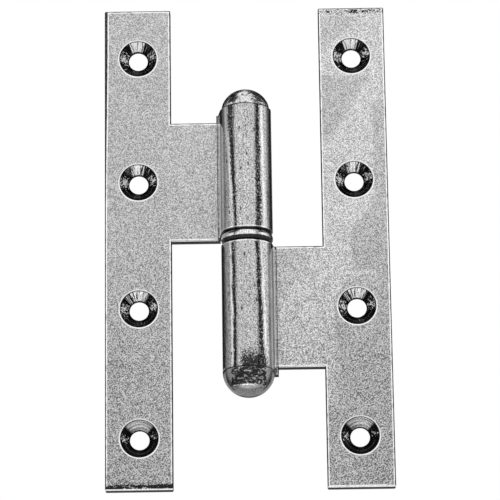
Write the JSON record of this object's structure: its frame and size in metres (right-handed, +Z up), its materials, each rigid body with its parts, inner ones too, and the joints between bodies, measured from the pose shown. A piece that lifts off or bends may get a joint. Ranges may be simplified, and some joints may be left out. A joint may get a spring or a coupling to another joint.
{
  "type": "lift-off hinge",
  "caption": "Lift-off door hinge in sheet steel: each leaf is a countersunk screw strip rolled into a knuckle, with a fixed round-headed pin, a loose ring between the knuckles and a domed cap.",
  "frame": {"origin": "on the pin's axis, halfway up the leaves", "axes": "+Z up along the pin, as hung, with the door half's knuckle above the frame half's; X across the open leaves, door half at -X and frame half at +X; +Y out of the flat backs, so the countersunk faces look along -Y"},
  "size_m": [0.08, 0.0144, 0.14],
  "materials": {
    "leaf_steel": "matte blank faces with a fine grain, polished on the roll",
    "pin_steel": "satin, turned",
    "ring_steel": "polished",
    "cap_steel": "polished, slightly mottled"
  },
  "bodies": {
    "frame_half": {"lower_leaf": "leaf_steel", "pin": "pin_steel"},
    "loose_ring": {"ring": "ring_steel"},
    "door_half": {"upper_leaf": "leaf_steel", "cap": "cap_steel"}
  },
  "joints": [
    {"name": "swing", "type": "hinge", "parent": "frame_half", "child": "loose_ring", "pos_m": [0, 0, 0], "axis": [0, 0, 1], "range_deg": [-140, 188]},
    {"name": "lift_off", "type": "slide", "parent": "loose_ring", "child": "door_half", "axis": [0, 0, 1], "range_m": [0, 0.032]}
  ]
}
